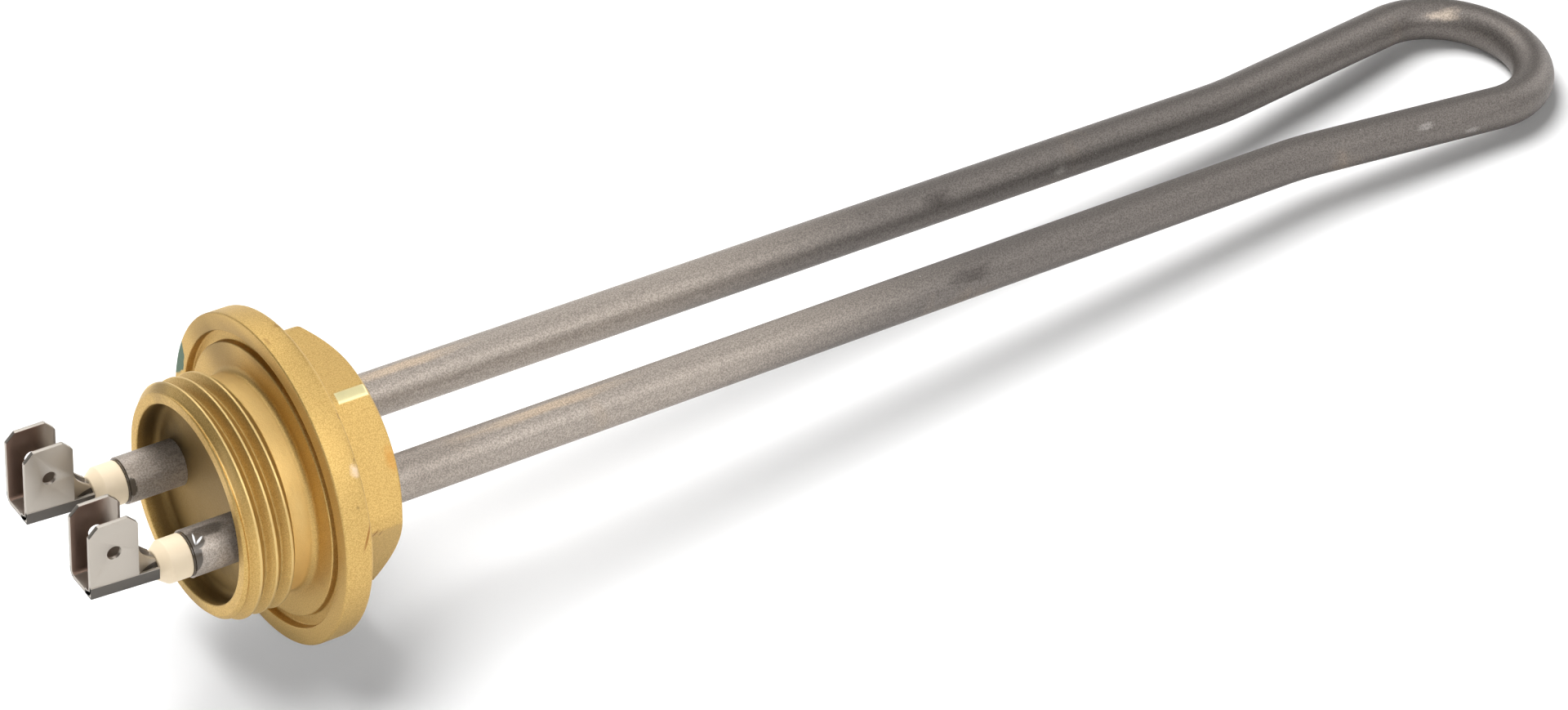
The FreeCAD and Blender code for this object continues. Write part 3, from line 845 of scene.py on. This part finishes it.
def tubeTree():
    tree, given, out = newGroup("tubeAlongPath", "GeometryNodeTree", (
        ("Geometry", "INPUT", "NodeSocketGeometry", None),
        ("Radius", "INPUT", "NodeSocketFloat", 0.0),
        ("Sides", "INPUT", "NodeSocketInt", 32),
        ("Material", "INPUT", "NodeSocketMaterial", None),
        ("Geometry", "OUTPUT", "NodeSocketGeometry", None),
    ))
    get = given.outputs
    path = put(tree, "GeometryNodeMeshToCurve", {0: get["Geometry"]}).outputs[0]
    along = put(tree, "GeometryNodeSplineParameter").outputs["Length"]
    path = storeValue(tree, path, "alongTube", along)
    section = put(tree, "GeometryNodeCurvePrimitiveCircle", {
        "Resolution": get["Sides"], "Radius": get["Radius"]}, mode="RADIUS").outputs[0]
    factor = put(tree, "GeometryNodeSplineParameter").outputs["Factor"]
    turn = calc(tree, "MULTIPLY", factor, 2 * math.pi)
    around = put(tree, "ShaderNodeCombineXYZ", {
        0: calc(tree, "COSINE", turn), 1: calc(tree, "SINE", turn)}).outputs[0]
    section = storeValue(tree, section, "aroundTube", around, "FLOAT_VECTOR")
    skin = put(tree, "GeometryNodeCurveToMesh", {"Curve": path, "Profile Curve": section}).outputs[0]
    return endTree(tree, out, skin, get["Material"])


def makeTube():
    points = [(p.x * mm, p.y * mm, 0) for p in hairpinPoints()]
    path = bpy.data.meshes.new("sheathTube")
    path.from_pydata(points, [(k, k + 1) for k in range(len(points) - 1)], [])
    piece = linkPiece("sheathTube", path)
    addTree(piece, tubeTree(), {"Radius": tubeRadius * mm, "Sides": tube["sides"], "Material": sheathSteel})
    wall = piece.modifiers.new("wall", "SOLIDIFY")
    wall.thickness = tube["wall"] * mm
    wall.offset = -1  # inwards
    bakeModifiers(piece)
    smoothByAngle(piece.data, tube["smoothAngle"])
    finishPiece(piece, "sheath_steel", "sheath_tube")


makeTube()


# turned pieces on each leg: bushes, seals and braze

turned = {"segments": 96, "smoothAngle": 35.0}


def makeTurned(pieceName, node, profile, side, material, slotName):
    mesh = turnedMesh(pieceName, lambda angle: profile, turned["segments"], side * legY, ring=True)
    piece = linkPiece(pieceName, mesh, material)
    smoothByAngle(mesh, turned["smoothAngle"])
    finishPiece(piece, slotName, node)


bush = {
    "bore": 1.35, "mouth": 0.5, "mouthDepth": 0.6, "mouthRound": 0.15,
    "cone": 1.8, "tipDiameter": 5.2, "tipRound": 0.4, "shoulderRound": 0.5, "baseRound": 0.3,
    "arcSteps": 6,
}


def makeBush(name, side):
    base, tip, collar = bushHigh.x, bushLow.x, bushHigh.z
    profile = roundedProfile([
        (base, bush["bore"]),
        (base, collar, bush["baseRound"]),
        (tip + bush["cone"], collar, bush["shoulderRound"]),
        (tip, bush["tipDiameter"] / 2, bush["tipRound"]),
        (tip, bush["bore"] + bush["mouth"], bush["mouthRound"]),
        (tip + bush["mouthDepth"], bush["bore"]),
    ], bush["arcSteps"])
    makeTurned("ceramicBush_" + name, "ceramic_bush_" + name, profile, side, bushCeramic, "bush_ceramic")


seal = {"bore": 1.25, "edgeRound": 0.1, "arcSteps": 4}


def makeSeal(name, side):
    flange, inner = sealHigh.z, tubeRadius - tube["wall"]
    profile = roundedProfile([
        (sealLow.x, seal["bore"]),
        (sealLow.x, flange, seal["edgeRound"]),
        (tubeLow.x, flange, seal["edgeRound"]),
        (tubeLow.x, inner),
        (sealHigh.x, inner),
        (sealHigh.x, seal["bore"]),
    ], seal["arcSteps"])
    makeTurned("endSeal_" + name, "end_seal_" + name, profile, side, sealResin, "seal_resin")


fillet = {"steps": 8}  # round the braze's hollow face


def makeBraze(name, side):
    low, high = boxInMm("braze_ring_" + name)
    leg, wet = high.x - low.x, low.x
    angles = [math.radians(90 * k / fillet["steps"]) for k in range(fillet["steps"] + 1)]
    profile = [(wet, tubeRadius)]
    profile += [(wet + leg * (1 - math.sin(a)), tubeRadius + leg * (1 - math.cos(a))) for a in angles]
    makeTurned("brazeRing_" + name, "braze_ring_" + name, profile, side, brazeFillet, "braze")


# pins and tabs, from the solids with their edges rounded

edges = {"pinRound": 0.1, "tabRound": 0.12, "segments": 2, "fromAngle": 28.0, "smoothAngle": 40.0}


def finishSolid(piece, slotName, node, rounding):
    bevel = piece.modifiers.new("edges", "BEVEL")
    bevel.width = rounding * mm
    bevel.segments = edges["segments"]
    bevel.limit_method = "ANGLE"
    bevel.angle_limit = math.radians(edges["fromAngle"])
    bevel.use_clamp_overlap = True
    bakeModifiers(piece)
    smoothByAngle(piece.data, edges["smoothAngle"])
    finishPiece(piece, slotName, node)


def makePin(name):
    mesh = solidCopy("cold_pin_" + name, "coldPin_" + name)
    piece = linkPiece("coldPin_" + name, mesh, nickelPlate)
    finishSolid(piece, "pin_steel", "cold_pin_" + name, edges["pinRound"])


# the foot that runs under the tabs' web on one side, an L in section, dark with the tabs' painted shade
# outer and inner are off the leg's middle, low, step and high above it
strap = {
    "outer": 3.75, "inner": 1.65, "lip": 0.5, "low": 0.0, "step": 1.3, "high": 2.3,
    "rise": 0.75,  # at the tabs' far end
    "toBush": 0.7,
}


def addStrap(mesh, side):
    left = boxInMm("tab_terminal_far")[0].x
    right = bushLow.x - strap["toBush"]
    lipInner = strap["outer"] - strap["lip"]
    section = (
        (strap["outer"], strap["low"]), (strap["inner"], strap["low"]),
        (strap["inner"], strap["step"]), (lipInner, strap["step"]),
        (lipInner, strap["high"]), (strap["outer"], strap["high"]),
    )
    with edited(mesh) as work:
        first, last = (
            [work.verts.new((x * mm, (side * legY - out) * mm, (z + rise) * mm)) for out, z in section]
            for x, rise in ((left, strap["rise"]), (right, 0)))
        faces = [work.faces.new(first), work.faces.new(last)]
        for k in range(len(section)):
            after = (k + 1) % len(section)
            faces.append(work.faces.new((first[k], first[after], last[after], last[k])))
        bmesh.ops.recalc_face_normals(work, faces=faces)


def makeTab(name, side):
    mesh = solidCopy("tab_terminal_" + name, "tabTerminal_" + name)
    addStrap(mesh, side)
    piece = linkPiece("tabTerminal_" + name, mesh, nickelPlate)
    finishSolid(piece, "nickel_plate", "tab_terminal_" + name, edges["tabRound"])


for name, side in sides.items():
    makeBush(name, side)
    makeSeal(name, side)
    makeBraze(name, side)
    makePin(name)
    makeTab(name, side)
print("small pieces made")


# floor, light and camera

# the floor is a disc with a low wall that touches the flange and the loop, given as x and z
# it lights up by itself far from the part, so that it stays white in every view
studio = {
    "floorTouchPlug": (4.6, -30.15), "floorTouchLoop": (290.7, -4.3),
    "floorColour": (0.92, 0.92, 0.92, 1), "floorGlow": 0.03, "farGlow": 0.95,
    "middle": (125.0, 0.0, 0.0), "glowRun": (380.0, 1200.0),
    "floorRadius": 5500.0, "wallHeight": 1000.0, "floorSides": 96,
    "worldStrength": 0.05,
}


# the glow shows to the camera, in gloss and through glass, and lights nothing else
def floorFinish():
    material, tree, shader = newFinish("paleFloor")
    tree.nodes.remove(shader)
    matte = put(tree, "ShaderNodeBsdfDiffuse", {"Color": studio["floorColour"]}).outputs[0]
    away = put(tree, "ShaderNodeVectorMath", {
        0: objectPlace(tree), 1: metres(studio["middle"])}, operation="DISTANCE").outputs["Value"]
    strength = spread(tree, away, *metres(studio["glowRun"]), studio["floorGlow"], studio["farGlow"])
    glow = put(tree, "ShaderNodeEmission", {"Color": (1, 1, 1, 1), "Strength": strength}).outputs[0]
    seen = put(tree, "ShaderNodeAddShader", {0: matte, 1: glow}).outputs[0]
    path = put(tree, "ShaderNodeLightPath").outputs
    direct = calc(tree, "MAXIMUM", path["Is Glossy Ray"], path["Is Transmission Ray"])
    direct = calc(tree, "MAXIMUM", path["Is Camera Ray"], direct)
    mixed = put(tree, "ShaderNodeMixShader", {0: direct, 1: matte, 2: seen}).outputs[0]
    tree.links.new(mixed, tree.nodes["Material Output"].inputs[0])
    return material


def makeFloor():
    (x0, z0), (x1, z1) = studio["floorTouchPlug"], studio["floorTouchLoop"]
    slope = (z1 - z0) / (x1 - x0)
    reach, count = studio["floorRadius"], studio["floorSides"]
    points = []
    for height in (0, studio["wallHeight"]):
        for k in range(count):
            angle = 2 * math.pi * k / count
            x, y = reach * math.cos(angle), reach * math.sin(angle)
            points.append((x * mm, y * mm, (z0 + slope * (x - x0) + height) * mm))
    faces = [list(range(count))]
    faces += [((k + 1) % count, k, k + count, (k + 1) % count + count) for k in range(count)]
    mesh = bpy.data.meshes.new("floor")
    mesh.from_pydata(points, [], faces)
    linkPiece("floor", mesh, floorFinish())


def makeWorld():
    world = bpy.data.worlds.new("studio")
    bpy.context.scene.world = world
    world.use_nodes = True
    back = world.node_tree.nodes["Background"]
    feed(world.node_tree, back, {"Color": (1, 1, 1, 1), "Strength": studio["worldStrength"]})


# places and sizes in mm, power in watts
# a lamp without shine stays out of the gloss, one without matte lights the metal's gloss alone
usualLamp = {"aim": (60, 0, 0), "size": (800, 800), "shine": True, "matte": True}
lamps = (
    {"name": "frontPanel", "place": (210, -900, 810), "power": 8.2, "matte": False},
    {"name": "cameraPanel", "place": (-420, -870, 780), "power": 1.6},
    {"name": "topPanel", "place": (60, 0, 1200), "power": 4.4, "matte": False},
    {"name": "backPanel", "place": (180, 820, 870), "power": 5.6},
    {"name": "loopPanel", "place": (1180, 0, 600), "power": 4.6, "matte": False},
    {"name": "shadowPanel", "place": (-170, 400, 1040), "aim": (100, 0, 0), "size": (860, 860),
     "power": 17.5, "shine": False},
    {"name": "lowPanel", "place": (-260, -1100, 330), "size": (700, 500), "power": 5.5, "shine": False},
)


def makeLamp(lamp):
    data = bpy.data.lights.new(lamp["name"], "AREA")
    data.shape = "RECTANGLE"
    data.size, data.size_y = metres(lamp["size"])
    data.energy = lamp["power"]
    panel = linkObject(lamp["name"], data)
    place = Vector(lamp["place"]) * mm
    panel.location = place
    panel.rotation_euler = (Vector(lamp["aim"]) * mm - place).to_track_quat("-Z", "Y").to_euler()
    panel.visible_camera = False
    panel.visible_glossy, panel.visible_diffuse = lamp["shine"], lamp["matte"]


view = {
    "place": (-293.81, -528.75, 470.75),  # camera's place in mm
    "azimuth": 37.442, "elevation": 36.040, "roll": 4.572,  # degrees
    "focalPixels": 5425.7, "imageWidth": 1920,
    "sensorWidth": 36, "clip": (50.0, 20000.0),  # mm
}


def makeCamera():
    azimuth, elevation, roll = (math.radians(view[key]) for key in ("azimuth", "elevation", "roll"))
    flat = math.cos(elevation)
    ahead = Vector((math.sin(azimuth) * flat, math.cos(azimuth) * flat, -math.sin(elevation)))
    level = Vector((math.cos(azimuth), -math.sin(azimuth), 0))
    upright = level.cross(ahead)
    right = level * math.cos(roll) + upright * math.sin(roll)
    up = upright * math.cos(roll) - level * math.sin(roll)
    data = bpy.data.cameras.new("photoCamera")
    data.sensor_fit = "HORIZONTAL"
    data.sensor_width = view["sensorWidth"]
    data.lens = view["focalPixels"] / view["imageWidth"] * view["sensorWidth"]
    data.clip_start, data.clip_end = metres(view["clip"])
    camera = linkObject("photoCamera", data)
    turn = Matrix((right, up, -ahead)).transposed()
    camera.matrix_world = Matrix.Translation(Vector(view["place"]) * mm) @ turn.to_4x4()
    bpy.context.scene.camera = camera


makeFloor()
makeWorld()
for lamp in lamps:
    makeLamp({**usualLamp, **lamp})
makeCamera()
bpy.context.scene.view_settings.view_transform = "Standard"
print("studio made")
